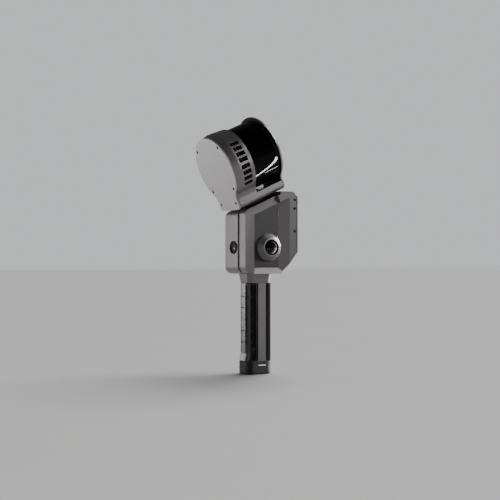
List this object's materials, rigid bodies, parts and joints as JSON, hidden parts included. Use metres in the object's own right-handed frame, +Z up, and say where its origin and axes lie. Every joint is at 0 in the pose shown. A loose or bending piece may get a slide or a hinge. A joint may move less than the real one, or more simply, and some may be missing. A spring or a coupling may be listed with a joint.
{
  "type": "handheld lidar scanner",
  "caption": "Handheld lidar scanner: rubber grip, camera body with fisheye lenses, and a tilted rotating head that carries a drum-shaped lidar.",
  "frame": {"origin": "middle of the handle's flat foot, on the tripod thread's mouth", "axes": "+Z up along the handle; -Y is where the front camera looks; +X is the side with the battery lights"},
  "size_m": [0.1128, 0.1528, 0.4131],
  "materials": {
    "body_metal": "bead-blasted and anodised warm grey",
    "plate_metal": "bead-blasted and anodised light grey",
    "inner_metal": "anodised black",
    "window_black": "polished, dark, passes infrared",
    "rubber_black": "matte, moulded",
    "steel": "ground",
    "black_steel": "black oxide",
    "lens_glass": "coated, polished",
    "camera_black": "satin black",
    "board_green": "solder mask",
    "coil_copper": "lacquered winding",
    "magnet_nickel": "nickel plated",
    "cell_wrap": "shrink wrap",
    "light_pipe": "milky, lit from behind",
    "thread_brass": "turned",
    "button_metal": "satin anodised",
    "door_rubber": "matte, moulded"
  },
  "bodies": {
    "body": {"bearing_carrier": "inner_metal", "bearing_outer_races": "steel", "motor_stator": "coil_copper", "slip_ring_brushes": "camera_black", "main_housing": "body_metal", "front_spine": "body_metal", "right_side_panel": "body_metal", "left_side_panel": "body_metal", "right_camera_bezel": "camera_black", "right_camera_lens": "lens_glass", "right_camera_barrel": "camera_black", "left_camera_bezel": "camera_black", "left_camera_lens": "lens_glass", "left_camera_barrel": "camera_black", "front_camera_bezel": "camera_black", "front_camera_lens": "lens_glass", "front_camera_barrel": "camera_black", "camera_boards": "board_green", "rear_cover": "body_metal", "rear_cover_screws": "steel", "power_switch": "board_green", "status_ring": "light_pipe", "port_door_pin": "steel", "data_sockets": "camera_black", "main_board": "board_green", "heat_spreader": "inner_metal", "motion_sensor": "camera_black", "handle_frame": "body_metal", "front_grip": "rubber_black", "rear_grip": "rubber_black", "base_cap": "body_metal", "battery_lights": "light_pipe", "tripod_insert": "thread_brass", "battery_cells": "cell_wrap", "cell_links": "magnet_nickel", "charge_board": "board_green", "handle_plug": "camera_black", "collar_screws": "steel"},
    "head": {"front_plate": "plate_metal", "front_plate_screws": "steel", "vent_band": "body_metal", "head_base": "body_metal", "end_plate": "body_metal", "end_plate_screws": "black_steel", "lidar_base": "inner_metal", "lidar_driver": "board_green", "lidar_window": "window_black", "lidar_cap": "inner_metal", "lidar_bearings": "steel", "turntable_hub": "inner_metal", "hub_screws": "steel", "bearing_inner_races": "steel", "rotor_bell": "steel", "rotor_magnets": "magnet_nickel", "slip_ring": "thread_brass"},
    "optics": {"lidar_rotor": "inner_metal", "rotor_lenses": "lens_glass", "lidar_spindle": "steel"},
    "power_button": {"power_button": "button_metal"},
    "port_door": {"port_door": "door_rubber"}
  },
  "joints": [
    {"name": "head_turn", "type": "hinge", "parent": "body", "child": "head", "pos_m": [0, -0.003, 0.2765], "axis": [0, -0.4147, 0.91], "continuous": true},
    {"name": "optics_spin", "type": "hinge", "parent": "head", "child": "optics", "pos_m": [0, -0.03327, 0.34293], "axis": [0, 0.91, 0.4147], "continuous": true},
    {"name": "button_press", "type": "slide", "parent": "body", "child": "power_button", "axis": [0, -1, 0], "range_m": [0, 0.0008], "stiffness_N_per_m": 2500, "springref_m": -0.0004},
    {"name": "door_open", "type": "hinge", "parent": "body", "child": "port_door", "pos_m": [0, 0.0528, 0.2112], "axis": [-1, 0, 0], "range_deg": [0, 95]}
  ]
}
